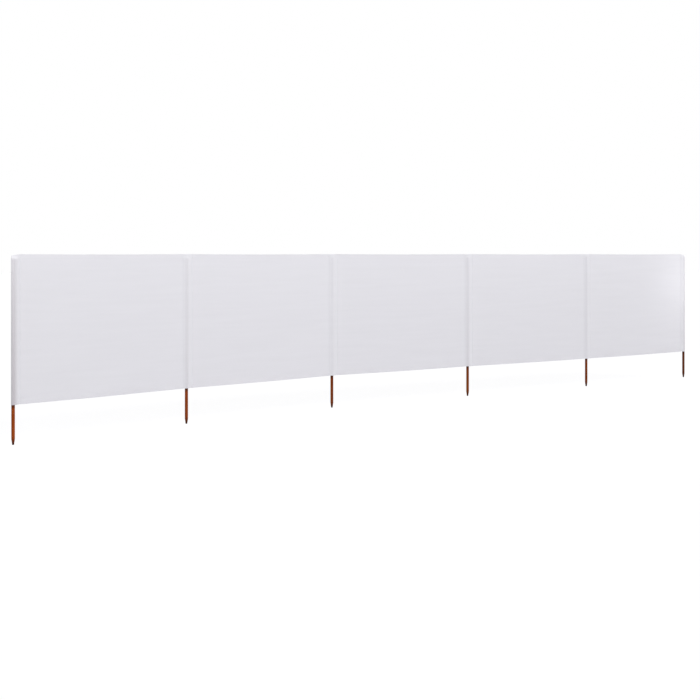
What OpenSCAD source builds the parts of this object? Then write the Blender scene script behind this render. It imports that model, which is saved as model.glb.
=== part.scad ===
// Beach windbreak: one long run of white cloth in equal bays, carried by round wooden posts.
// Each post is pushed up into a sewn sleeve that is pinched shut at the top, and its lower end is cut
// to a blunt point that goes into the sand. The run turns a few degrees at each inner post.
// Frame: the origin is the middle of the first post's blunt tip, +X runs to the last post,
// +Y is the back of the cloth, where the hems are folded, and +Z is up.

/* [Run] */
// Number of cloth bays
bay_count = 5; // [2:1:8]
// Distance between the axes of neighbouring posts
bay_width = 1200; // [600:10:2000]
// Turn of the run at the second post and the inner posts after it, in degrees
bend_degrees = [-3, -7.5, -1, 3]; // [-20:0.5:20]

/* [Posts] */
// Diameter of the round post
post_diameter = 19; // [13:0.5:30]
// Length of post that shows below the cloth
post_below_cloth = 212; // [100:1:500]
// Height of the cut point
point_length = 32; // [10:1:70]
// Diameter of the blunt flat tip
tip_diameter = 10; // [4:0.5:11]
// Edge break on the sawn top end
top_chamfer = 1.5; // [0.5:0.1:4]

/* [Cloth] */
// Height of the cloth from edge to edge
cloth_height = 800; // [300:10:1600]
// Thickness of one layer of cloth as drawn
cloth_thickness = 1; // [0.6:0.1:2]
// Height of the folded hems along the top and bottom edges
hem_height = 18; // [8:1:40]

/* [Sleeves] */
// Gap between the post and the inside of its sleeve
post_clearance = 0.3; // [0.2:0.05:1]
// Flat cloth between the sleeve's round and its seam on the roomy side
roomy_tail = 28; // [12:1:60]
// Flat cloth between the sleeve's round and its seam on the snug side
snug_tail = 16; // [3:0.5:40]
// Width over which the two layers are sewn together at a seam
seam_allowance = 3; // [1:0.5:6]
// Height over which the sleeve narrows from round to flat above the post
pinch_height = 16; // [8:1:40]
// Height of the flat seam that closes the sleeve at the top
closing_seam = 8; // [3:0.5:20]
// Height of that seam at the outer corner of an end sleeve, where it slopes down
corner_seam = 2; // [1:0.5:20]

/* [Hidden] */
post_count = bay_count + 1;
cloth_bottom = post_below_cloth;
cloth_top = cloth_bottom + cloth_height;
pinch_top = cloth_top - closing_seam;
post_top = pinch_top - pinch_height;

sleeve_bore = post_diameter / 2 + post_clearance;
sleeve_radius = sleeve_bore + cloth_thickness;
roomy_reach = sleeve_radius + roomy_tail;
snug_reach = sleeve_radius + snug_tail;

arc_steps = 8;   // straight steps in a quarter of a sleeve's round
layer_gap = 0.5; // slit left between two layers beside a seam

wood_colour = "#6b3219";
cloth_colour = "#e4e3e8";

// Turn of the run at a post, counted from 1
function bend_at(post) = post >= 2 && post - 2 < len(bend_degrees) ? bend_degrees[post - 2] : 0;

// Heading of a bay from its first post, with the first bay along +X
function first_heading(bay) = bay <= 1 ? 0 : first_heading(bay - 1) + bend_at(bay);

// A step of one bay width along a heading
function bay_step(angle) = bay_width * [cos(angle), sin(angle)];
function first_place(post) =
    post <= 1 ? [0, 0] : first_place(post - 1) + bay_step(first_heading(post - 1));

// The whole run is turned so that the last post stands on +X
run_end = first_place(post_count);
run_turn = -atan2(run_end.y, run_end.x);
function heading(bay) = first_heading(bay) + run_turn;
function place(post) = post <= 1 ? [0, 0] : place(post - 1) + bay_step(heading(post - 1));

// A bay's panel runs from the roomy seam of its first post to the seam of its next post
function panel_start() = roomy_reach;
function panel_end(bay) = bay_width - (bay == bay_count ? roomy_reach : snug_reach);
function panel_length(bay) = panel_end(bay) - panel_start();

// A sleeve has one tail towards the bay before its post and one towards the bay after it
function has_back(post) = post > 1;
function has_front(post) = post < post_count;
function back_reach(post) = has_front(post) ? snug_reach : roomy_reach;

function is_inner(post) = has_back(post) && has_front(post);

// Angle from a tail to the middle of the round on one side of the run; an end sleeve's round has one tail,
// and all but closes on itself
function round_middle(post, side) = is_inner(post) ? (180 - side * bend_at(post)) / 2 : 180 - 45 / arc_steps;
function round_steps(post) = is_inner(post) ? arc_steps : 2 * arc_steps;

// Angle from a tail's direction at which its straight side leaves the round
function leave_angle(radius, reach, half) = atan2(half, reach) + acos(radius / norm([reach, half]));

// One side of a tail, from the middle of the round out to the seam, as [along, across] from the post's axis
function tail_side(post, radius, reach, half, middle, side) =
    let (
        leave = leave_angle(radius, reach, half),
        steps = round_steps(post)
    )
    concat(
        [for (k = [0 : steps])
            let (angle = middle + (leave - middle) * k / steps)
            radius * [cos(angle), side * sin(angle)]],
        [[reach, side * half]]
    );

// Press a side flat, so that no point lies further across than the half thickness
function pressed(points, half) = [for (p = points) [p.x, max(-half, min(half, p.y))]];
function turned(points, angle) =
    [for (p = points) [p.x * cos(angle) - p.y * sin(angle), p.x * sin(angle) + p.y * cos(angle)]];
function reversed(points) = [for (k = [len(points) - 1 : -1 : 0]) points[k]];

// One side of a whole sleeve, from its back seam to its front seam; side is 1 at the back of the cloth
function sleeve_side(post, radius, inset, half, limit, side) =
    let (
        middle = round_middle(post, side),
        back = pressed(tail_side(post, radius, back_reach(post) - inset, half, middle, -side), limit),
        front = pressed(tail_side(post, radius, roomy_reach - inset, half, middle, side), limit),
        back_points = has_back(post) ? reversed(turned(back, heading(post - 1) + 180)) : [],
        front_points = has_front(post) ? turned(front, heading(post)) : []
    )
    is_inner(post)
        ? concat(back_points, [for (k = [1 : len(front_points) - 1]) front_points[k]])
        : concat(back_points, front_points);

// A closed section of a sleeve: up one side and back along the other
function section(post, radius, inset, half, limit) = concat(
    sleeve_side(post, radius, inset, half, limit, 1),
    reversed(sleeve_side(post, radius, inset, half, limit, -1))
);
function lifted(points, height) = [for (p = points) [p.x, p.y, height]];

// The sewn top edge slopes down to the outer corner of an end sleeve
function top_edge_height(post, point) =
    is_inner(post) ? cloth_top
    : let (
        away = has_front(post) ? heading(post) : heading(post - 1) + 180,
        along = point.x * cos(away) + point.y * sin(away),
        share = (roomy_reach - along) / (roomy_reach + sleeve_radius)
    )
    cloth_top - (closing_seam - corner_seam) * share;

module at_post(post) {
    translate([place(post).x, place(post).y, 0]) children();
}

// Local x runs along the bay from its first post
module along_bay(bay) {
    at_post(bay) rotate([0, 0, heading(bay)]) children();
}

// Round wooden post, turned from its pointed end to its chamfered top
module post(p) {
    radius = post_diameter / 2;
    color(wood_colour) at_post(p)
        rotate_extrude($fn = 64)
            polygon([
                [0, 0],
                [tip_diameter / 2, 0],
                [radius, point_length],
                [radius, post_top - top_chamfer],
                [radius - top_chamfer, post_top],
                [0, post_top]
            ]);
}

// Flat ring between two closed sections with the same number of points
module ring_outline(outside, inside) {
    count = len(outside);
    polygon(
        points = concat(outside, inside),
        paths = [[for (k = [0 : count - 1]) k], [for (k = [0 : count - 1]) count + k]]
    );
}

// Loft over the post's top: up the outside, across the sewn edge, and down the inside
module pinched_top(p, wall, space) {
    flat = section(p, sleeve_radius, 0, cloth_thickness, cloth_thickness);
    slit = section(p, sleeve_bore, seam_allowance, layer_gap / 2, layer_gap / 2);
    rings = [
        lifted(wall, post_top),
        lifted(flat, pinch_top),
        [for (point = flat) [point.x, point.y, top_edge_height(p, point)]],
        lifted(slit, pinch_top - layer_gap),
        lifted(space, post_top)
    ];
    count = len(wall);

    // Two triangles for each step between a ring and the ring over it, split so that the tails stay full
    function band(low, high) = [
        for (k = [0 : count - 1])
            let (
                next = (k + 1) % count,
                outward = norm(wall[next]) - norm(wall[k]) > layer_gap,
                a = low * count + k,
                b = low * count + next,
                c = high * count + next,
                d = high * count + k
            )
            each outward ? [[a, b, c], [a, c, d]] : [[a, b, d], [b, c, d]]
    ];
    // Faces that close a ring across its two sides
    function cap(ring) = [
        for (k = [0 : count / 2 - 2])
            let (first = ring * count)
            [first + k, first + k + 1, first + count - 2 - k, first + count - 1 - k]
    ];
    function flipped(faces) = [for (face = faces) reversed(face)];

    polyhedron(
        points = [for (ring = rings) each ring],
        faces = concat(
            band(0, 1),
            band(1, 2),
            cap(2),
            flipped(cap(3)),
            flipped(band(4, 3)),
            band(4, 0)
        )
    );
}

// Sewn sleeve: a doubled hem at its open lower end, a straight wall, and a top that is pinched shut
module sleeve(p) {
    free = sleeve_radius + cloth_thickness; // a limit that presses nothing
    hem = section(p, free, 0, 1.5 * cloth_thickness, free);
    wall = section(p, sleeve_radius, 0, cloth_thickness, free);
    space = section(p, sleeve_bore, seam_allowance, layer_gap / 2, free);
    color(cloth_colour) at_post(p) {
        translate([0, 0, cloth_bottom]) linear_extrude(hem_height) ring_outline(hem, space);
        translate([0, 0, cloth_bottom + hem_height])
            linear_extrude(cloth_height - hem_height - pinch_height - closing_seam) ring_outline(wall, space);
        pinched_top(p, wall, space);
    }
}

// Single layer of cloth between two sleeves, up to the folds of its hems
module panel(b) {
    color(cloth_colour) along_bay(b)
        translate([panel_start(), -cloth_thickness / 2, cloth_bottom + cloth_thickness])
            cube([panel_length(b), cloth_thickness, cloth_height - 2 * cloth_thickness]);
}

// Section of a hem, with the cloth's edge at y = 0: a round fold over the edge and a strip down the back
module hem_section() {
    half = cloth_thickness / 2;
    translate([half, -hem_height]) square([cloth_thickness, hem_height - cloth_thickness]);
    intersection() {
        translate([half, -cloth_thickness]) circle(cloth_thickness, $fn = 32);
        translate([-half, -cloth_thickness]) square([2 * cloth_thickness, cloth_thickness]);
    }
}

module hem_along(b) {
    translate([panel_start(), 0, 0]) rotate([90, 0, 90]) linear_extrude(panel_length(b)) children();
}

module top_hem(b) {
    color(cloth_colour) along_bay(b) translate([0, 0, cloth_top]) hem_along(b) hem_section();
}

module bottom_hem(b) {
    color(cloth_colour) along_bay(b)
        translate([0, 0, cloth_bottom]) hem_along(b) mirror([0, 1]) hem_section();
}

for (p = [1 : post_count]) {
    post(p);
    sleeve(p);
}
for (b = [1 : bay_count]) {
    panel(b);
    top_hem(b);
    bottom_hem(b);
}
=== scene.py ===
import math

import bpy
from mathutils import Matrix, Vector, noise


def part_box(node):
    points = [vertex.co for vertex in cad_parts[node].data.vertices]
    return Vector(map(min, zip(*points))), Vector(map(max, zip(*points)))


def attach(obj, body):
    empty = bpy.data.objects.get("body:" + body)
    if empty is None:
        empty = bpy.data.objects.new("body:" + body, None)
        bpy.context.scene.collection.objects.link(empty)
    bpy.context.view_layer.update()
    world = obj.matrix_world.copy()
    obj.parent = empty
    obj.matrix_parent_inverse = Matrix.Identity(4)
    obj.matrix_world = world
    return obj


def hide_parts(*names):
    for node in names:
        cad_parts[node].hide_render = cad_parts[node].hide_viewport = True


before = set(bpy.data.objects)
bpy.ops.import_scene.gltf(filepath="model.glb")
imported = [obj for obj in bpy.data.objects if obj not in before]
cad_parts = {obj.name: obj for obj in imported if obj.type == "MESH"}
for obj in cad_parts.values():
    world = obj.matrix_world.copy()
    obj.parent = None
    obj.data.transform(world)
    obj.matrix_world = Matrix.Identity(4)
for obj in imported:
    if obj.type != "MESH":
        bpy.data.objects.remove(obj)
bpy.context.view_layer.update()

# The camera: it stands in front of the run, beyond its left end, level, with its eye at the height of the
# cloth's top edge, and looks along the five bays. The lens is shifted a little, so that the posts stay
# upright in the picture.
IMAGE_SIDE = 700
FOCAL_PIXELS = 1334.9
HORIZON_PIXEL = 254.2
CAMERA_PLACE = (-3.269, -6.535, 1.012)
TURN_FROM_BACK = 40.74  # degrees to the right of straight back
camera_data = bpy.data.cameras.new("camera")
camera_data.sensor_width = 36
camera_data.lens = camera_data.sensor_width * FOCAL_PIXELS / IMAGE_SIDE
camera_data.shift_y = (HORIZON_PIXEL - IMAGE_SIDE / 2) / IMAGE_SIDE
camera = bpy.data.objects.new("camera", camera_data)
camera.location = CAMERA_PLACE
camera.rotation_euler = (math.radians(90), 0, math.radians(-TURN_FROM_BACK))
bpy.context.collection.objects.link(camera)
bpy.context.scene.camera = camera
bpy.context.scene.view_settings.view_transform = "Standard"

# The posts: six round softwood dowels, turned to a blunt point at the foot and dipped in a brown stain.
# Each stands in its own sleeve of the cloth, and its point goes into the ground.
POST_COUNT = 6
POST_SIDES = 32
SHAFT_CUTS, POINT_CUTS = 60, 4
POINT_LENGTH, TIP_RADIUS = 0.032, 0.005
EDGE_BREAK = 0.0012
END_UPRIGHT = 0.9  # a face is one of the ends if its normal is at least this upright
RIDGE_HEIGHT = 0.00012  # the early wood dries back further than the late wood and leaves low ridges
RIDGE_WIDTH, RIDGE_LENGTH = 0.004, 0.15
SEED_STEP = 10  # keeps the posts' ridges apart, so that no two are alike
POST_SMOOTH_ANGLE = math.radians(30)
STAIN_DEPTHS = (0, 0.3, 0.55, 0.58, 0.66, 1)  # how much more of the stain each post took up


def middle(node):
    """The middle of a CAD node's box, at ground height."""
    low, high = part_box(node)
    return Vector(((low.x + high.x) / 2, (low.y + high.y) / 2, 0))


post_places = [middle(f"post_{number}") for number in range(1, POST_COUNT + 1)]
POST_RADIUS = (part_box("post_1")[1].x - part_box("post_1")[0].x) / 2
POST_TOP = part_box("post_1")[1].z
cloth_low, cloth_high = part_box("sleeve_2")[0].z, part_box("sleeve_2")[1].z


def select_parts(piece, mode, wanted):
    """In edit mode, leave only the faces or edges selected that wanted(part) is true for."""
    bpy.ops.object.mode_set(mode="OBJECT")
    bpy.context.tool_settings.mesh_select_mode = (False, mode == "EDGE", mode == "FACE")
    mesh = piece.data
    for kind in (mesh.vertices, mesh.edges, mesh.polygons):
        kind.foreach_set("select", [False] * len(kind))
    for part in mesh.polygons if mode == "FACE" else mesh.edges:
        part.select = wanted(part)
    bpy.ops.object.mode_set(mode="EDIT")


def rise(piece, edge):
    """How far an edge climbs."""
    low, high = (piece.data.vertices[index].co.z for index in edge.vertices)
    return abs(high - low)


def turn_post(number, place):
    """A dowel with a turned point, its rims broken, and low ridges along its grain."""
    bpy.ops.object.select_all(action="DESELECT")
    shaft = POST_TOP - POINT_LENGTH
    bpy.ops.mesh.primitive_cylinder_add(vertices=POST_SIDES, radius=POST_RADIUS, depth=shaft,
                                        location=(place.x, place.y, POINT_LENGTH + shaft / 2))
    post = bpy.context.object
    post.name = post.data.name = f"stained_post_{number}"
    bpy.ops.object.transform_apply(location=True, rotation=True, scale=True)
    select_parts(post, "FACE", lambda face: face.normal.z < -END_UPRIGHT)
    bpy.ops.mesh.extrude_region_move(TRANSFORM_OT_translate={"value": (0, 0, -POINT_LENGTH)})
    narrowing = TIP_RADIUS / POST_RADIUS
    bpy.ops.transform.resize(value=(narrowing, narrowing, 1), center_override=(place.x, place.y, 0))
    select_parts(post, "FACE", lambda face: abs(face.normal.z) > END_UPRIGHT)
    bpy.ops.mesh.bevel(offset=EDGE_BREAK, segments=2, affect="EDGES")
    select_parts(post, "EDGE", lambda edge: rise(post, edge) > shaft / 2)
    bpy.ops.mesh.subdivide(number_cuts=SHAFT_CUTS)
    select_parts(post, "EDGE", lambda edge: rise(post, edge) > POINT_LENGTH / 2)
    bpy.ops.mesh.subdivide(number_cuts=POINT_CUTS)
    bpy.ops.object.mode_set(mode="OBJECT")
    for vertex in post.data.vertices:
        out = Vector((vertex.co.x - place.x, vertex.co.y - place.y, 0))
        spot = (out.x / RIDGE_WIDTH, out.y / RIDGE_WIDTH, vertex.co.z / RIDGE_LENGTH + SEED_STEP * number)
        vertex.co += out * (RIDGE_HEIGHT / POST_RADIUS * noise.noise(spot))
    bpy.ops.object.shade_smooth_by_angle(angle=POST_SMOOTH_ANGLE)
    stain = post.data.attributes.new("stain", "FLOAT", "POINT")
    stain.data.foreach_set("value", [STAIN_DEPTHS[number - 1]] * len(post.data.vertices))
    return post


def linear(hex_colour):
    """The linear colour, with its alpha, of an sRGB hex value such as 6b3419."""
    parts = [int(hex_colour[start:start + 2], 16) / 255 for start in (0, 2, 4)]
    return [part / 12.92 if part <= 0.04045 else ((part + 0.055) / 1.055) ** 2.4 for part in parts] + [1]


def add_node(tree, kind, values=None, links=None, stops=None, **settings):
    """Add one node, set its attributes, sockets and colour stops, and link other nodes' outputs into it.

    A Mix node's sockets go by number: colours in at 6 and 7 and out at 2, plain values in at 2 and 3 and
    out at 0.
    """
    made = tree.nodes.new(kind)
    for name, value in settings.items():
        setattr(made, name, value)
    for socket, value in (values or {}).items():
        made.inputs[socket].default_value = value
    for socket, (source, output) in (links or {}).items():
        tree.links.new(source.outputs[output], made.inputs[socket])
    for place, (position, colour) in enumerate(stops or []):
        ramp = made.color_ramp.elements
        stop = ramp[place] if place < 2 else ramp.new(position)  # a ramp has two stops from the start
        stop.position = position
        stop.color = linear(colour)
    return made


def new_material(name):
    """An empty node material, with its tree and its output node."""
    material = bpy.data.materials.new(name)
    material.use_nodes = True
    material.node_tree.nodes.clear()
    return material, material.node_tree, material.node_tree.nodes.new("ShaderNodeOutputMaterial")


# Stained pine: the stain sinks deeper into the soft early wood, so fine streaks run up the post, with fine
# drying cracks and now and then a knot. The end grain of the point drinks more of it and is darker. A band
# just under the cloth is painted darker as the cloth's shadow. The dry stain has a low, broken shine.
GRAIN_WIDTH = 0.003  # the real rings show 1 mm apart, and are drawn coarser so that they are seen
GRAIN_LENGTH = 0.16
TONE_WIDTH, TONE_LENGTH = 0.08, 0.22
CRACK_WIDTH, CRACK_LENGTH = 0.009, 0.35
KNOT_SPACING, KNOT_SIZE = 0.08, 0.006
POINT_TOP = 0.05
# The height of the band under the cloth that is painted darker: painted shadow of the cloth.
CLOTH_SHADOW_BAND = 0.026
stained_pine, tree, output = new_material("stained_pine")
where = add_node(tree, "ShaderNodeTexCoord")
along_grain = add_node(tree, "ShaderNodeMapping",
                       {"Scale": (1 / GRAIN_WIDTH, 1 / GRAIN_WIDTH, 1 / GRAIN_LENGTH)},
                       {"Vector": (where, "Object")})
grain = add_node(tree, "ShaderNodeTexNoise", {"Scale": 1, "Detail": 4, "Roughness": 0.6, "Distortion": 0.4},
                 {"Vector": (along_grain, "Vector")})
grain_colour = add_node(tree, "ShaderNodeValToRGB", links={"Fac": (grain, "Fac")},
                        stops=[(0.3, "83320a"), (0.5, "ad4f0e"), (0.72, "cb7022")])
along_tone = add_node(tree, "ShaderNodeMapping",
                      {"Scale": (1 / TONE_WIDTH, 1 / TONE_WIDTH, 1 / TONE_LENGTH)},
                      {"Vector": (where, "Object")})
tone = add_node(tree, "ShaderNodeTexNoise", {"Scale": 1, "Detail": 2}, {"Vector": (along_tone, "Vector")})
tone_colour = add_node(tree, "ShaderNodeValToRGB", links={"Fac": (tone, "Fac")},
                       stops=[(0.3, "d6c2b4"), (0.7, "ffffff")])
toned = add_node(tree, "ShaderNodeMix", {"Factor": 1},
                 {6: (grain_colour, "Color"), 7: (tone_colour, "Color")},
                 data_type="RGBA", blend_type="MULTIPLY")
along_crack = add_node(tree, "ShaderNodeMapping",
                       {"Scale": (1 / CRACK_WIDTH, 1 / CRACK_WIDTH, 1 / CRACK_LENGTH)},
                       {"Vector": (where, "Object")})
crack = add_node(tree, "ShaderNodeTexVoronoi", {"Scale": 1}, {"Vector": (along_crack, "Vector")},
                 feature="DISTANCE_TO_EDGE")
crack_share = add_node(tree, "ShaderNodeMapRange", {"From Max": 0.05, "To Min": 0.55, "To Max": 0},
                       {"Value": (crack, "Distance")}, interpolation_type="SMOOTHSTEP")
cracked = add_node(tree, "ShaderNodeMix", {7: linear("3a1809")},
                   {"Factor": (crack_share, "Result"), 6: (toned, 2)}, data_type="RGBA")
knot = add_node(tree, "ShaderNodeTexVoronoi", {"Scale": 1 / KNOT_SPACING}, {"Vector": (where, "Object")})
knot_share = add_node(tree, "ShaderNodeMapRange",
                      {"From Min": 0.3 * KNOT_SIZE / KNOT_SPACING, "From Max": KNOT_SIZE / KNOT_SPACING,
                       "To Min": 0.8, "To Max": 0},
                      {"Value": (knot, "Distance")}, interpolation_type="SMOOTHSTEP")
knotted = add_node(tree, "ShaderNodeMix", {7: linear("34150a")},
                   {"Factor": (knot_share, "Result"), 6: (cracked, 2)}, data_type="RGBA")
stain_share = add_node(tree, "ShaderNodeAttribute", attribute_name="stain")
stained = add_node(tree, "ShaderNodeMix", {7: linear("5a2406")},
                   {"Factor": (stain_share, "Fac"), 6: (knotted, 2)}, data_type="RGBA")
height = add_node(tree, "ShaderNodeSeparateXYZ", links={"Vector": (where, "Object")})
# Painted shadow: a band just under the cloth's foot is painted darker, for the cloth's shade on the wood.
cloth_shadow = add_node(tree, "ShaderNodeMapRange",
                {"From Min": cloth_low - CLOTH_SHADOW_BAND, "From Max": cloth_low - CLOTH_SHADOW_BAND / 4, "To Max": 0.7},
                {"Value": (height, "Z")}, interpolation_type="SMOOTHSTEP")
cloth_shadowed = add_node(tree, "ShaderNodeMix", {7: linear("2b1612")},
                  {"Factor": (cloth_shadow, "Result"), 6: (stained, 2)}, data_type="RGBA")
end_grain = add_node(tree, "ShaderNodeMapRange",
                     {"From Min": 0, "From Max": POINT_TOP, "To Min": 0.9, "To Max": 0},
                     {"Value": (height, "Z")}, interpolation_type="SMOOTHSTEP")
wood_colour = add_node(tree, "ShaderNodeMix", {7: linear("2e150d")},
                       {"Factor": (end_grain, "Result"), 6: (cloth_shadowed, 2)}, data_type="RGBA")
wood_rough = add_node(tree, "ShaderNodeMapRange", {"To Min": 0.6, "To Max": 0.85}, {"Value": (grain, "Fac")})
grain_bump = add_node(tree, "ShaderNodeBump", {"Strength": 0.35, "Distance": 0.0004},
                      {"Height": (grain, "Fac")})
crack_bump = add_node(tree, "ShaderNodeBump", {"Strength": 0.5, "Distance": 0.0004},
                      {"Height": (crack_share, "Result"), "Normal": (grain_bump, "Normal")}, invert=True)
wood = add_node(tree, "ShaderNodeBsdfPrincipled", {"IOR": 1.5, "Specular IOR Level": 0.15},
                {"Base Color": (wood_colour, 2), "Roughness": (wood_rough, "Result"),
                 "Normal": (crack_bump, "Normal")})
tree.links.new(wood.outputs["BSDF"], output.inputs["Surface"])
for number, place in enumerate(post_places, start=1):
    post = turn_post(number, place)
    post.data.materials.append(stained_pine)
    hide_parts(f"post_{number}")
    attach(post, "root")

# The panels: five bays of one long white cloth, a plain-woven polyester canvas, pulled taut from post to
# post. The pull leaves shallow, slanting ripples along the bay, the seams and hems gather the cloth a little,
# and its edges sag between the posts.
BAY_COUNT = POST_COUNT - 1
CLOTH_THICKNESS = 0.0008
CLOTH_SMOOTH_ANGLE = math.radians(50)
SEAM_LAP = 0.006  # how far the panel's edge goes in between the sleeve's two layers
GRID_STEP = 0.008
END_CROWDING = 0.6  # how much closer together the grid's columns are near the seams
EDGE_SAG = 0.002
HOLD_RATE = 5  # how fast the ripples grow with the distance from the seams, which hold the cloth flat
SWELL_HEIGHT, SWELL_WIDTH = 0.002, 0.012  # the tight seam draws the cloth in, and it stands out beside it
DRAG_LENGTH = 0.05  # short level creases where the pull leaves the seam
PUCKER_WIDTH = 0.012  # the hem's stitches gather the cloth
LAP_EASE = 0.00625  # and the sleeve's layers hold it flat again at the seam
HEM_ROW = 0.015  # from the cloth's edge to the hem's row of stitches
FOLD_RADIUS = 0.0006

# Each kind of fold: how deep it is in metres, how many there are to a metre along and up, and its seed.
SHALLOW_FOLDS = (0.0007, 1.3, 13, 1.7)
FINE_FOLDS = (0.0002, 3.1, 31, 5.3)
SLANT_FOLDS, SLANT_RISE = (0.0032, 4.5, 1.1, 9.1), 0.55
DRAG_FOLDS = (0.0006, 5, 28, 7.7)
PUCKER_FOLDS = (0.0004, 1 / 0.022, 6, 4.1)  # 22 mm apart along the hem
UNEVEN_SWELL = (0.5, 1, 25, 3.3)  # this one's depth is a share of the swell, and it runs by the bay's number


def fold(kind, along, up):
    """How far one kind of fold stands back at a distance along the cloth and a height."""
    depth, along_count, up_count, seed = kind
    return depth * noise.noise((along_count * along, up_count * up, seed))


class Bay:
    """One bay's line from post to post: where its panel starts and ends along it, and which way is back."""

    def __init__(self, number):
        start, end = post_places[number - 1], post_places[number]
        self.number = number
        self.start = start
        self.along = (end - start).normalized()
        self.back = Vector((-self.along.y, self.along.x, 0))
        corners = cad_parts[f"panel_{number}"].data.vertices
        reaches = [(corner.co - start).dot(self.along) for corner in corners]
        self.first, self.last = min(reaches), max(reaches)
        self.run = sum((post_places[post + 1] - post_places[post]).length for post in range(number - 1))

    def ripple(self, reach, height):
        """How far the cloth stands behind the bay's line, at a distance along it and a height."""
        share = (reach - self.first) / (self.last - self.first)
        held = min(1, max(0, HOLD_RATE * share * (1 - share)))
        run = self.run + reach
        slant = fold(SLANT_FOLDS, SLANT_RISE * run - height, run + SLANT_RISE * height)
        ripples = fold(SHALLOW_FOLDS, run, height) + fold(FINE_FOLDS, run, height) + slant
        past_seam = max(0, reach - self.first) / SWELL_WIDTH
        swell = SWELL_HEIGHT * past_seam * math.exp(1 - past_seam)
        swell *= 1 + fold(UNEVEN_SWELL, self.number, height)
        from_seam = max(0, min(reach - self.first, self.last - reach))
        to_drag = from_seam / DRAG_LENGTH
        drag = fold(DRAG_FOLDS, run, height) * to_drag * math.exp(1 - to_drag)
        to_hem = (min(height - cloth_low, cloth_high - height) - HEM_ROW) / PUCKER_WIDTH
        pucker = fold(PUCKER_FOLDS, run, height) * math.exp(-to_hem * to_hem)
        past_lap = 1 - math.exp(-from_seam / LAP_EASE)
        return held * ripples - swell + drag + pucker * past_lap

    def spread(self, across):
        """A distance along the bay for a share of it, with the columns closer together near the seams."""
        share = across - END_CROWDING * math.sin(2 * math.pi * across) / (2 * math.pi)
        return self.first + (self.last - self.first) * share

    def sag(self, reach):
        """How far the cloth hangs below the level of the posts' tops."""
        share = min(1, max(0, (reach - self.first) / (self.last - self.first)))
        return EDGE_SAG * 4 * share * (1 - share)

    def point(self, reach, height, depth=0):
        """A point of the cloth: so far along the bay, so high, and so far behind the cloth's middle."""
        there = self.start + self.along * reach + self.back * (self.ripple(reach, height) + depth)
        return Vector((there.x, there.y, height - self.sag(reach)))


def cloth_strip(name, columns, rows, place):
    """A grid of cloth. place(across, up) gives the point, and the place in the weave, of each crossing."""
    bpy.ops.object.select_all(action="DESELECT")
    bpy.ops.mesh.primitive_grid_add(x_subdivisions=columns, y_subdivisions=rows, size=1)
    strip = bpy.context.object
    strip.name = strip.data.name = name
    weave_places = []
    for vertex in strip.data.vertices:
        vertex.co, weave_place = place(vertex.co.x + 0.5, vertex.co.y + 0.5)
        weave_places.append(weave_place)
    for corner in strip.data.loops:
        strip.data.uv_layers[0].data[corner.index].uv = weave_places[corner.vertex_index]
    return strip


def give_thickness(strip, thickness):
    """Turn a sheet into a cloth of real thickness, its own middle where the sheet was, shaded smooth."""
    bpy.ops.object.select_all(action="DESELECT")
    strip.select_set(True)
    bpy.context.view_layer.objects.active = strip
    solidify = strip.modifiers.new("thickness", "SOLIDIFY")
    solidify.thickness = thickness
    solidify.offset = 0
    bpy.ops.object.modifier_apply(modifier=solidify.name)
    bpy.ops.object.shade_smooth_by_angle(angle=CLOTH_SMOOTH_ANGLE)


# White canvas: a matt, close plain weave with a soft sheen. Uneven yarns draw faint streaks along the cloth.
# Over and round each post the white is painted darker: partly the wood showing through, partly painted
# shade, more towards the foot.
THREAD_SPACING = 0.0025  # the real threads are 0.5 mm apart, and are drawn coarser so that they show near by
STREAK_LENGTH, STREAK_HEIGHT = 0.5, 0.03
WAVE_PERIOD = 2 * math.pi / 20  # the period of Blender's band pattern at scale 1
white_canvas, tree, output = new_material("white_canvas")
weave_place = add_node(tree, "ShaderNodeUVMap")
warp = add_node(tree, "ShaderNodeTexWave", {"Scale": WAVE_PERIOD / THREAD_SPACING},
                {"Vector": (weave_place, "UV")}, bands_direction="X")
weft = add_node(tree, "ShaderNodeTexWave", {"Scale": WAVE_PERIOD / THREAD_SPACING},
                {"Vector": (weave_place, "UV")}, bands_direction="Y")
weave = add_node(tree, "ShaderNodeMath", links={0: (warp, "Fac"), 1: (weft, "Fac")}, operation="ADD")
along_streak = add_node(tree, "ShaderNodeMapping", {"Scale": (1 / STREAK_LENGTH, 1 / STREAK_HEIGHT, 1)},
                        {"Vector": (weave_place, "UV")})
streak = add_node(tree, "ShaderNodeTexNoise", {"Scale": 1, "Detail": 3, "Roughness": 0.55},
                  {"Vector": (along_streak, "Vector")})
yarn_colour = add_node(tree, "ShaderNodeValToRGB", links={"Fac": (streak, "Fac")},
                       stops=[(0.3, "e9e8ed"), (0.7, "ebeaef")])
thread_tone = add_node(tree, "ShaderNodeMapRange", {"From Max": 2, "To Min": 0.94, "To Max": 1},
                       {"Value": (weave, "Value")})
woven = add_node(tree, "ShaderNodeMix", {"Factor": 1},
                 {6: (yarn_colour, "Color"), 7: (thread_tone, "Result")},
                 data_type="RGBA", blend_type="MULTIPLY")
# Over and round the posts the white is mixed towards grey: painted shade, partly the wood showing through.
behind = add_node(tree, "ShaderNodeAttribute", attribute_name="wood_and_painted_shade")
shaded_at_posts = add_node(tree, "ShaderNodeMix", {7: linear("c8c3c8")},
                         {"Factor": (behind, "Fac"), 6: (woven, 2)}, data_type="RGBA")
weave_bump = add_node(tree, "ShaderNodeBump", {"Strength": 0.25, "Distance": 0.0003},
                      {"Height": (weave, "Value")})
streak_bump = add_node(tree, "ShaderNodeBump", {"Strength": 0.03, "Distance": 0.0006},
                       {"Height": (streak, "Fac"), "Normal": (weave_bump, "Normal")})
canvas = add_node(tree, "ShaderNodeBsdfPrincipled",
                  {"Roughness": 0.88, "IOR": 1.45, "Specular IOR Level": 0.25, "Sheen Weight": 0.12,
                   "Sheen Roughness": 0.5},
                  {"Base Color": (shaded_at_posts, 2), "Normal": (streak_bump, "Normal")})
tree.links.new(canvas.outputs["BSDF"], output.inputs["Surface"])

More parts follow.
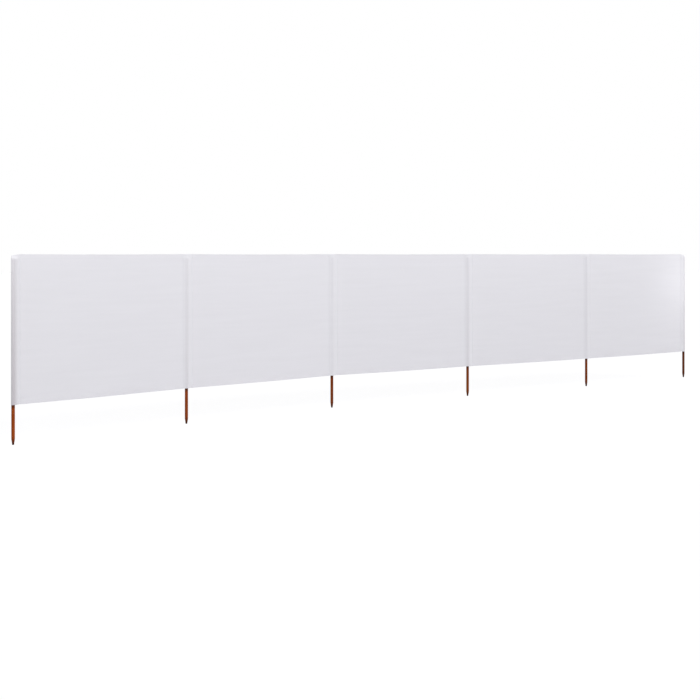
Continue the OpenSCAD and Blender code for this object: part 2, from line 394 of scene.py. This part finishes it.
bays = [Bay(number) for number in range(1, BAY_COUNT + 1)]
panels = []
for bay in bays:
    low, high = cloth_low + FOLD_RADIUS, cloth_high - FOLD_RADIUS

    def panel_place(across, up):
        """A point of the panel, and its place in the weave, for a share of its width and height."""
        reach = bay.spread(across) + SEAM_LAP * (2 * across - 1)
        height = low + (high - low) * up
        return bay.point(reach, height), (bay.run + reach, height)

    columns = round((bay.last - bay.first) / GRID_STEP)
    rows = round((high - low) / GRID_STEP)
    panel = cloth_strip(f"panel_cloth_{bay.number}", columns, rows, panel_place)
    give_thickness(panel, CLOTH_THICKNESS)
    panel.data.materials.append(white_canvas)
    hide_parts(f"panel_{bay.number}")
    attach(panel, "root")
    panels.append(panel)

# The hems: along the top and the bottom of each bay the cloth is folded over to the back and stitched down,
# so that its cut edge can't fray.
HEM_HEIGHT = 0.018
FOLD_STEPS, FLAP_STEPS = 5, 3
hems = {}
for bay in bays:
    for edge, level, up in (("top", cloth_high, 1), ("bottom", cloth_low, -1)):

        def hem_place(across, over):
            """A point of the hem, and its place in the weave, for a share of its width and of its fold."""
            reach = bay.spread(across)
            step = over * (FOLD_STEPS + FLAP_STEPS)
            turn = math.pi * min(1, step / FOLD_STEPS)
            flap = max(0, step - FOLD_STEPS) / FLAP_STEPS * (HEM_HEIGHT - FOLD_RADIUS)
            depth = FOLD_RADIUS * (1 - math.cos(turn))
            height = level - up * (FOLD_RADIUS * (1 - math.sin(turn)) + flap)
            return bay.point(reach, height, depth), (bay.run + reach, height - up * 2 * depth)

        columns = round((bay.last - bay.first) / GRID_STEP)
        hem = cloth_strip(f"{edge}_hem_cloth_{bay.number}", columns, FOLD_STEPS + FLAP_STEPS, hem_place)
        give_thickness(hem, CLOTH_THICKNESS)
        hem.data.materials.append(white_canvas)
        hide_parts(f"{edge}_hem_{bay.number}")
        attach(hem, "root")
        hems.setdefault(bay.number, []).append(hem)

# The stitching: rows of white polyester thread hold the hems down, sew the sleeves to the panels, close the
# sleeves' tops and hem their feet. Each stitch is a short loop, pulled tight, and the rows show on both
# faces.
STITCH_PITCH, STITCH_LENGTH = 0.005, 0.0037
THREAD_WIDTH, THREAD_HEIGHT = 0.0009, 0.0006
UP = Vector((0, 0, 1))

# White thread: spun polyester, a little whiter and shinier than the canvas, with a fine, uneven fluff.
FLUFF_SIZE = 0.0006
white_thread, tree, output = new_material("white_thread")
where = add_node(tree, "ShaderNodeTexCoord")
fluff = add_node(tree, "ShaderNodeTexNoise", {"Scale": 1 / FLUFF_SIZE, "Detail": 1},
                 {"Vector": (where, "Object")})
thread_colour = add_node(tree, "ShaderNodeValToRGB", links={"Fac": (fluff, "Fac")},
                         stops=[(0.3, "e2e1e6"), (0.7, "efeef3")])
thread = add_node(tree, "ShaderNodeBsdfPrincipled", {"Roughness": 0.55, "IOR": 1.5},
                  {"Base Color": (thread_colour, "Color")})
tree.links.new(thread.outputs["BSDF"], output.inputs["Surface"])
bpy.ops.object.select_all(action="DESELECT")
bpy.ops.mesh.primitive_ico_sphere_add(subdivisions=1, radius=0.5)
stitch = bpy.context.object
stitch_corners = [vertex.co.copy() for vertex in stitch.data.vertices]
stitch_faces = [tuple(face.vertices) for face in stitch.data.polygons]
bpy.data.objects.remove(stitch)


def sew(name, places):
    """One piece with a copy of the stitch at each place: a point, the way the row runs, and the way out."""
    corners, faces = [], []
    for point, along, outward in places:
        across = outward.cross(along)
        first = len(corners)
        for corner in stitch_corners:
            offset = along * (corner.x * STITCH_LENGTH) + across * (corner.y * THREAD_WIDTH)
            corners.append(point + offset + outward * (corner.z * THREAD_HEIGHT))
        faces.extend(tuple(first + index for index in face) for face in stitch_faces)
    mesh = bpy.data.meshes.new(name)
    mesh.from_pydata(corners, [], faces)
    mesh.shade_smooth()
    mesh.materials.append(white_thread)
    row = bpy.data.objects.new(name, mesh)
    bpy.context.collection.objects.link(row)
    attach(row, "root")
    return row


def stitch_spots(first, last):
    """The middles of the stitches in a row that runs from one distance to another."""
    count = int((last - first) / STITCH_PITCH)
    spare = (last - first) - count * STITCH_PITCH
    return [first + spare / 2 + STITCH_PITCH * (index + 0.5) for index in range(count)]


for bay in bays:
    places = []
    for level, up in ((cloth_high, 1), (cloth_low, -1)):
        height = level - up * HEM_ROW
        for reach in stitch_spots(bay.first, bay.last):
            front = -CLOTH_THICKNESS / 2
            flap_back = 2 * FOLD_RADIUS + CLOTH_THICKNESS / 2
            places.append((bay.point(reach, height, front), bay.along, -bay.back))
            places.append((bay.point(reach, height, flap_back), bay.along, bay.back))
    sew(f"hem_thread_{bay.number}", places)

# The sleeves: at each post the cloth is sewn double into a narrow pocket, wider on one side of the post, that
# is open at the foot and sewn shut flat at the top. At the two ends it wraps round the post.
WOOD_CLEARANCE = 0.0009  # from the wood to the middle of the sleeve's cloth
SLEEVE_RADIUS = POST_RADIUS + WOOD_CLEARANCE
LAYER_DEPTH = 0.0009  # how far each layer's middle is from the panel's, where the two are sewn to it
SHUT_DEPTH = 0.55 * LAYER_DEPTH  # and at the top, where the layers are pressed together
SEAM_TURNING = 0.004  # what is turned under along each of the sleeve's two seams
PINCH_START, PINCH_END = POST_TOP + 0.001, POST_TOP + 0.017
CORNER_DROP = 0.006  # how much lower the run's two upper corners are than the cloth's top edge
SLEEVE_ROWS = 100
ARC_STEP = math.radians(12)
TAIL_STEPS = 10
TAIL_BOW = 0.07  # on the right of a post the layers are loose, and bow out by this share of the tail's length
TAIL_DIP = 0.05  # on its left the close seam draws them in by this share
LOOSE_DEPTH = 0.0005  # how far the cloth stands off the wood in places
LOOSE_ALONG, LOOSE_UP, LOOSE_SEED = 60, 9, 2
LOOSE_RISE = 0.004  # how much deeper than at its seams the sleeve is where that is full
GATHER_FOLDS = (0.0008, 160, 2, 4)  # the closing seam gathers the top
GATHER_DROP, GATHER_EASE = 0.03, 0.05  # they start this far below the pinch and grow over this height
SEAM_END, CLOSING_END = 0.004, 0.002  # where the rows of stitches stop short of the edges
CLOSING_ROW = 0.004  # from the cloth's top edge to the row that shuts the sleeve
WEAVE_SHIFT = 0.01  # so that the front and the back layer don't share one pattern

# How much darker each post's sleeve is painted: partly the wood showing through, partly painted shade.
# Most over the post, less towards the top, and nothing above the post.
WOOD_AND_SHADE_SHARES = (1, 0.3, 0.08, 0.3, 0.1, 0.8)
WOOD_AND_SHADE_REACHES = (0.020, 0.014)  # left and right of a post inside the run, how far from its middle that shows
END_REACHES = (0.016, 0.039)  # the same at the last post, towards its seam, and at the first
END_WRAP = 0.030  # and on the far side of those two posts, where the cloth goes round the wood
INNER_FADE, END_FADE = 0.5, 0.55  # the share of it that is lost at the top, inside the run and at its ends
TOP_FADE = 0.004  # half the height in which it fades away at the post's top


def eased(share):
    """A share from 0 to 1, eased at both ends."""
    share = min(1, max(0, share))
    return share * share * (3 - 2 * share)


def bulge(tail, bow_share):
    """Distances from the post's middle out to one side, with half the sleeve's depth at each."""
    turn_end = math.asin(SLEEVE_RADIUS / tail) if tail else math.radians(90)
    arc_steps = max(2, round(turn_end / ARC_STEP))
    turns = [turn_end * step / arc_steps for step in range(arc_steps + 1)]
    line = [(SLEEVE_RADIUS * math.sin(turn), SLEEVE_RADIUS * math.cos(turn)) for turn in turns]
    if tail:
        away, depth = line[-1]
        for step in range(1, TAIL_STEPS + 1):
            share = step / TAIL_STEPS
            bow = bow_share * (tail - away) * math.sin(math.pi * share)
            line.append((away + (tail - away) * share, depth + (LAYER_DEPTH - depth) * share + bow))
    return line


class Sleeve:
    """One post's pocket: the bays that it joins, its outline from above, and how its cloth goes round."""

    def __init__(self, number):
        self.number = number
        self.here = post_places[number - 1]
        self.before = bays[number - 2] if number > 1 else None
        self.after = bays[number - 1] if number < POST_COUNT else None
        self.line = self.after or self.before
        self.is_end = not (self.before and self.after)
        span_before = (self.here - self.before.start).length if self.before else None
        tail_before = span_before - self.before.last if self.before else None
        tail_after = self.after.first if self.after else None
        self.tail = tail_before or tail_after
        self.run = self.after.run if self.after else self.before.run + span_before
        left = [(-away, depth) for away, depth in reversed(bulge(tail_before, -TAIL_DIP))]
        self.outline = left + bulge(tail_after, TAIL_BOW)[1:]
        front = [(away, -1, depth) for away, depth in self.outline]
        back = [(away, 1, depth) for away, depth in reversed(self.outline)]
        self.wraps = [front, back]
        if self.is_end:
            # One strip goes from the seam round the post and back to it.
            self.wraps = [back + front[1:]] if self.after else [front + back[1:]]

    def point(self, away, side, height, depth):
        """A point of the sleeve: so far along the run from the post, on its front (-1) or back (1) layer."""
        line = (self.after or self.before) if away > 0 else (self.before or self.after)
        top = cloth_high
        if self.is_end:
            towards_seam = away if self.after else -away
            top -= CORNER_DROP * (self.tail - towards_seam) / (self.tail + SLEEVE_RADIUS)
        if height > PINCH_START:
            height = PINCH_START + (height - PINCH_START) * (top - PINCH_START) / (cloth_high - PINCH_START)
        pinch = eased((height - PINCH_START) / (PINCH_END - PINCH_START))
        run = self.run + away
        loose = LOOSE_DEPTH * (1 + fold((1, LOOSE_ALONG, LOOSE_UP, LOOSE_SEED + side), run, height)) / 2
        gathers = fold(GATHER_FOLDS, run, height) * eased((height - PINCH_START + GATHER_DROP) / GATHER_EASE)
        off_seam = min(1, max(0, (depth - LAYER_DEPTH) / LOOSE_RISE))
        layer = depth + (min(depth, SHUT_DEPTH) - depth) * pinch + loose * off_seam * (1 - pinch)
        stand = side * layer + gathers * pinch
        return self.here + line.along * away + line.back * stand + Vector((0, 0, height))

    def wood_and_shade_shown(self, spot):
        """How much darker the cloth is painted at a spot: wood showing through, and painted shade."""
        away = (Vector((spot.x, spot.y, 0)) - self.here).dot(self.line.along)
        bay_there = self.after if away > 0 else self.before
        if not self.is_end:
            near_post = 1 - min(1, abs(away) / WOOD_AND_SHADE_REACHES[away > 0])
        elif bay_there:
            near_post = (1 - min(1, abs(away) / END_REACHES[away > 0])) ** 2
        else:
            near_post = 1 - min(1, abs(away) / END_WRAP)
        below_top = 1 - eased((spot.z - POST_TOP + TOP_FADE) / (2 * TOP_FADE))
        # Painted shade: darker towards the foot.
        up_share = (spot.z - cloth_low) / (cloth_high - cloth_low)
        towards_foot = 1 - (END_FADE if self.is_end else INNER_FADE) * up_share
        return WOOD_AND_SHADE_SHARES[self.number - 1] * near_post * below_top * towards_foot

    def seam_stitches(self):
        """Places for the stitches up the seams and along the closed top, on both faces."""
        places = []
        for side in (-1, 1):
            for (away, depth), line in ((self.outline[1], self.before), (self.outline[-2], self.after)):
                if line:
                    outward = line.back * side
                    for height in stitch_spots(cloth_low + SEAM_END, cloth_high - SEAM_END):
                        point = self.point(away, side, height, depth) + outward * (CLOTH_THICKNESS / 2)
                        places.append((point, UP, outward))
            outward = self.line.back * side
            for away in stitch_spots(self.outline[0][0] + CLOSING_END, self.outline[-1][0] - CLOSING_END):
                point = self.point(away, side, cloth_high - CLOSING_ROW, LAYER_DEPTH)
                places.append((point + outward * (CLOTH_THICKNESS / 2), self.line.along, outward))
        return places


def foot_row(line):
    """Places for stitches along a level line of points round a sleeve's foot, on the outside of the cloth."""
    places, left_over = [], STITCH_PITCH / 2
    for start, end in zip(line, line[1:]):
        along = (end - start).normalized()
        outward = along.cross(UP)
        while left_over <= (end - start).length:
            places.append((start + along * left_over + outward * (CLOTH_THICKNESS / 2), along, outward))
            left_over += STITCH_PITCH
        left_over -= (end - start).length
    return places


for number in range(1, POST_COUNT + 1):
    sleeve = Sleeve(number)
    layers = []
    for wrap in sleeve.wraps:

        def sleeve_place(across, up):
            """A point of the layer, and its place in the weave, for a share of its width and height."""
            away, side, depth = wrap[round(across * (len(wrap) - 1))]
            height = cloth_low + (cloth_high - cloth_low) * up
            return sleeve.point(away, side, height, depth), (sleeve.run + away + WEAVE_SHIFT * side, height)

        layers.append(cloth_strip(f"sleeve_cloth_{number}", len(wrap) - 1, SLEEVE_ROWS, sleeve_place))
    bpy.ops.object.select_all(action="DESELECT")
    for layer in layers:
        layer.select_set(True)
    pocket = layers[0]
    bpy.context.view_layer.objects.active = pocket
    if len(layers) > 1:
        bpy.ops.object.join()
    pocket.name = pocket.data.name = f"sleeve_cloth_{number}"
    give_thickness(pocket, CLOTH_THICKNESS)
    # Painted darker over and round the post: partly the wood showing through, partly painted shade.
    wood_and_painted_shade = pocket.data.attributes.new("wood_and_painted_shade", "FLOAT", "POINT")
    wood_and_painted_shade.data.foreach_set("value", [sleeve.wood_and_shade_shown(vertex.co) for vertex in pocket.data.vertices])
    pocket.data.materials.append(white_canvas)
    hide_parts(f"sleeve_{number}")
    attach(pocket, "root")
    stitches = sleeve.seam_stitches()
    cut_width = 2 * SEAM_TURNING
    for wrap in sleeve.wraps:
        foot_line = [sleeve.point(away, side, cloth_low + HEM_ROW, depth) for away, side, depth in wrap]
        stitches.extend(foot_row(foot_line))
        cut_width += sum((end - start).length for start, end in zip(foot_line, foot_line[1:]))
    seam_thread = sew(f"seam_thread_{number}", stitches)

for bay, panel in zip(bays, panels):
    cut_width = bay.last - bay.first + 2 * SEAM_LAP

# The floor: a plain white sheet that the posts' points stand on. The camera sees it as white, and it keeps a
# faint shadow under the cloth.
FLOOR_SIDE = 120
FLOOR_GLOW = 0.845  # with the light that falls on it, just white
bpy.ops.object.select_all(action="DESELECT")
bpy.ops.mesh.primitive_plane_add(size=FLOOR_SIDE)
floor = bpy.context.object
floor.name = floor.data.name = "floor"


def seen_directly(tree):
    """A node that gives 1 where the camera sees a surface itself, in a reflection or through something."""
    ray = add_node(tree, "ShaderNodeLightPath")
    seen = add_node(tree, "ShaderNodeMath", links={0: (ray, "Is Camera Ray"), 1: (ray, "Is Glossy Ray")},
                    operation="MAXIMUM")
    return add_node(tree, "ShaderNodeMath", links={0: (seen, "Value"), 1: (ray, "Is Transmission Ray")},
                    operation="MAXIMUM")


# White floor: matt paper that lights the object as a pale floor does. The camera sees it at full white, less
# a little where the cloth shades it.
white_floor, tree, output = new_material("white_floor")
floor_matt = add_node(tree, "ShaderNodeBsdfDiffuse", {"Color": linear("f0f0f2")})
floor_shadow = add_node(tree, "ShaderNodeBsdfDiffuse", {"Color": linear("828284")})
floor_white = add_node(tree, "ShaderNodeEmission", {"Color": linear("ffffff"), "Strength": FLOOR_GLOW})
floor_seen = add_node(tree, "ShaderNodeAddShader",
                      links={0: (floor_shadow, "BSDF"), 1: (floor_white, "Emission")})
floor_mix = add_node(tree, "ShaderNodeMixShader",
                     links={0: (seen_directly(tree), "Value"), 1: (floor_matt, "BSDF"),
                            2: (floor_seen, "Shader")})
tree.links.new(floor_mix.outputs["Shader"], output.inputs["Surface"])
floor.data.materials.append(white_floor)

# The light: a white surround that is stronger on the right and behind the cloth, a broad key light from the
# front right and above, a long lamp over the front, and a small one at each end of the run.
LEFT_STRENGTH, RIGHT_STRENGTH = 0.385, 0.51
BACK_LEFT_STRENGTH, BACK_RIGHT_STRENGTH = 0.72, 1.05
BACK_START, BACK_FULL = 0.05, 0.5  # how far round to the back the surround grows stronger
KEY_STRENGTH, KEY_WIDTH = 0.71, math.radians(25)
KEY_DIRECTION = (-0.22, 0.76, -0.60)
world = bpy.data.worlds.new("white_surround")
bpy.context.scene.world = world
world.use_nodes = True
tree = world.node_tree
tree.nodes.clear()
output = tree.nodes.new("ShaderNodeOutputWorld")
way = add_node(tree, "ShaderNodeTexCoord")
way_parts = add_node(tree, "ShaderNodeSeparateXYZ", links={"Vector": (way, "Generated")})
front_strength = add_node(tree, "ShaderNodeMapRange",
                          {"From Min": -1, "To Min": LEFT_STRENGTH, "To Max": RIGHT_STRENGTH},
                          {"Value": (way_parts, "X")})
back_strength = add_node(tree, "ShaderNodeMapRange",
                         {"From Min": -1, "To Min": BACK_LEFT_STRENGTH, "To Max": BACK_RIGHT_STRENGTH},
                         {"Value": (way_parts, "X")})
back_share = add_node(tree, "ShaderNodeMapRange", {"From Min": BACK_START, "From Max": BACK_FULL},
                      {"Value": (way_parts, "Y")}, interpolation_type="SMOOTHSTEP")
strength = add_node(tree, "ShaderNodeMix",
                    links={"Factor": (back_share, "Result"), 2: (front_strength, "Result"),
                           3: (back_strength, "Result")})
soft_light = add_node(tree, "ShaderNodeBackground", {"Color": linear("ffffff")}, {"Strength": (strength, 0)})
white_wall = add_node(tree, "ShaderNodeBackground", {"Color": linear("ffffff"), "Strength": 1})
surround = add_node(tree, "ShaderNodeMixShader",
                    links={0: (seen_directly(tree), "Value"), 1: (soft_light, "Background"),
                           2: (white_wall, "Background")})
tree.links.new(surround.outputs["Shader"], output.inputs["Surface"])

key_data = bpy.data.lights.new("key_light", "SUN")
key_data.energy = KEY_STRENGTH
key_data.angle = KEY_WIDTH
key = bpy.data.objects.new("key_light", key_data)
key.rotation_euler = Vector(KEY_DIRECTION).to_track_quat("-Z", "Y").to_euler()
bpy.context.collection.objects.link(key)


def soft_lamp(name, place, target, width, height, power):
    """An oblong soft lamp at a place, turned to a target."""
    lamp_data = bpy.data.lights.new(name, "AREA")
    lamp_data.shape = "RECTANGLE"
    lamp_data.size = width
    lamp_data.size_y = height
    lamp_data.energy = power
    lamp = bpy.data.objects.new(name, lamp_data)
    lamp.location = place
    lamp.visible_camera = False
    lamp.rotation_euler = (Vector(target) - Vector(place)).to_track_quat("-Z", "Y").to_euler()
    bpy.context.collection.objects.link(lamp)


soft_lamp("end_lamp", place=(5.94, -0.35, 0.8), target=(5.98, 0, 0.75), width=0.3, height=0.3, power=0.23)
soft_lamp("start_lamp", place=(-0.6, -0.15, 1.5), target=(0, 0, 1), width=0.3, height=0.3, power=2.2)
soft_lamp("top_lamp", place=(3, -1.3, 2.3), target=(3, 0.1, 0.9), width=9, height=0.4, power=33)
